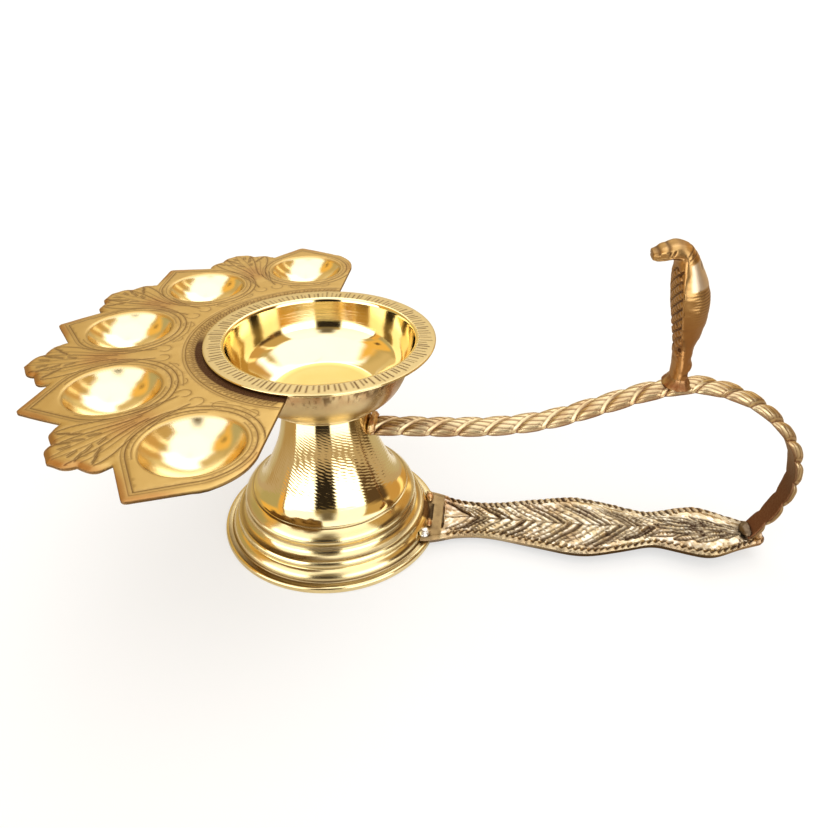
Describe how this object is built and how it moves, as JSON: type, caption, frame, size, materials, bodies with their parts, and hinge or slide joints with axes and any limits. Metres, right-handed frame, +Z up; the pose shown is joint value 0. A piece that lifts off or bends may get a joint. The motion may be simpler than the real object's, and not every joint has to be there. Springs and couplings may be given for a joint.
{
  "type": "five-wick aarti lamp",
  "caption": "Brass lamp for aarti: turned stand and bowl, fan-shaped plate of stamped oil cups, flat cast handle and a looping rope-patterned arm with a cobra.",
  "frame": {"origin": "middle of the lamp's bounding box, on the table it stands on", "axes": "+X from the cups towards the handle, +Z up, +Y to the far side when the handle is on the right"},
  "size_m": [0.2762, 0.187, 0.1238],
  "materials": {
    "polished_brass": "mirror polished, with faint turning marks",
    "engraved_brass": "satin, engraved",
    "cast_brass": "cast relief with brown patina in the hollows",
    "rope_brass": "cast strands, polished on top",
    "cobra_brass": "cast, coppery, chased scales",
    "braze": "dull, heat stained",
    "solder": "silver-coloured solder",
    "zinc_steel": "zinc plated"
  },
  "bodies": {
    "root": {"stand": "polished_brass", "bowl": "polished_brass", "bowl_stud": "zinc_steel", "stud_washer": "zinc_steel", "stud_nut": "zinc_steel", "fan_plate": "engraved_brass", "plate_braze_near": "braze", "plate_braze_far": "braze", "handle": "cast_brass", "handle_solder_near": "solder", "handle_braze_near": "braze", "handle_braze_far": "braze", "rope_arm": "rope_brass", "arm_braze_neck": "braze", "arm_braze_handle": "braze", "cobra": "cobra_brass", "cobra_braze": "braze"}
  },
  "joints": []
}
